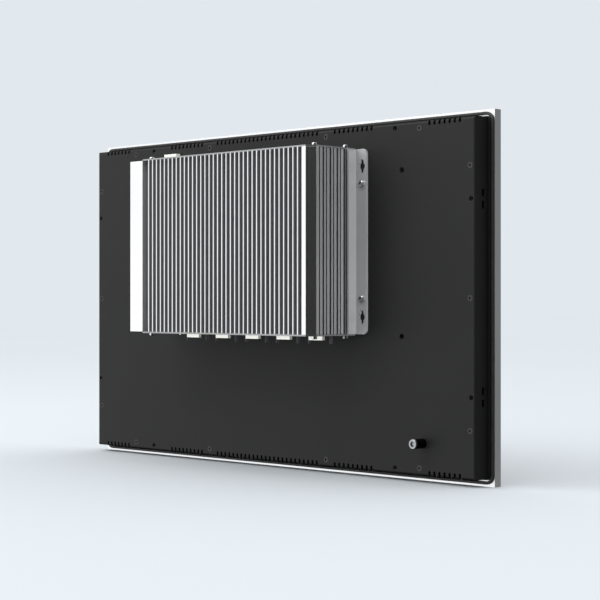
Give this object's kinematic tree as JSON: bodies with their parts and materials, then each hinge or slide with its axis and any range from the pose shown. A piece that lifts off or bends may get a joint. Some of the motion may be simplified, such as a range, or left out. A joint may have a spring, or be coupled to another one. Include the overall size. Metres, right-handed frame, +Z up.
{
  "type": "panel pc",
  "caption": "Panel-mount touch computer: thin aluminium front frame with seal, vented black rear housing and a finned fanless computer on brackets.",
  "frame": {"origin": "middle of the seat plane, on the crown of the seal bead behind the front frame", "axes": "+Y out of the rear, away from the screen; +Z up; +X to the right of someone who faces the screen"},
  "size_m": [0.53, 0.0853, 0.328],
  "materials": {
    "frame_aluminium": "satin anodised",
    "front_glass": "black bordered cover glass, gloss",
    "black_foam": "matte",
    "lcd_panel": "gloss",
    "clear_plastic": "clear, polished",
    "tray_steel": "satin",
    "zinc_steel": "satin",
    "housing_black": "fine matte black coat",
    "seal_rubber": "matte",
    "screw_black": "black oxide, satin",
    "board_green": "solder mask, satin",
    "bright_screw": "bright",
    "cover_aluminium": "satin anodised",
    "end_plate_paint": "satin",
    "port_metal": "bright nickel",
    "port_plastic": "matte",
    "post_metal": "satin",
    "pale_plastic": "matte",
    "bracket_metal": "satin",
    "chip_grey": "satin",
    "drive_metal": "satin"
  },
  "bodies": {
    "root": {"backlight_tray": "tray_steel", "base_plate": "zinc_steel", "board_standoffs": "zinc_steel", "bonding_nut": "zinc_steel", "bonding_screw": "bright_screw", "bonding_stud": "screw_black", "bottom_plate": "end_plate_paint", "chassis_plate": "housing_black", "clamp_nuts": "zinc_steel", "display_board": "board_green", "drive": "drive_metal", "driver_board": "board_green", "finned_cover": "cover_aluminium", "flange_screws": "bright_screw", "front_frame": "frame_aluminium", "front_glass": "front_glass", "glass_tape": "black_foam", "heat_block": "cover_aluminium", "housing_screws": "screw_black", "housing_spacers": "zinc_steel", "insert_nuts": "zinc_steel", "jack_posts": "post_metal", "lcd_cell": "lcd_panel", "left_bracket": "bracket_metal", "light_guide": "clear_plastic", "link_lock": "screw_black", "link_socket": "pale_plastic", "mainboard": "board_green", "memory_module": "board_green", "module_clamps": "zinc_steel", "plate_screws": "bright_screw", "port_inserts": "port_plastic", "port_shells": "port_metal", "processor": "chip_grey", "rail_caps": "cover_aluminium", "rear_housing": "housing_black", "right_bracket": "bracket_metal", "seal_gasket": "seal_rubber", "small_board_feet": "zinc_steel", "top_plate": "end_plate_paint"}
  },
  "joints": []
}
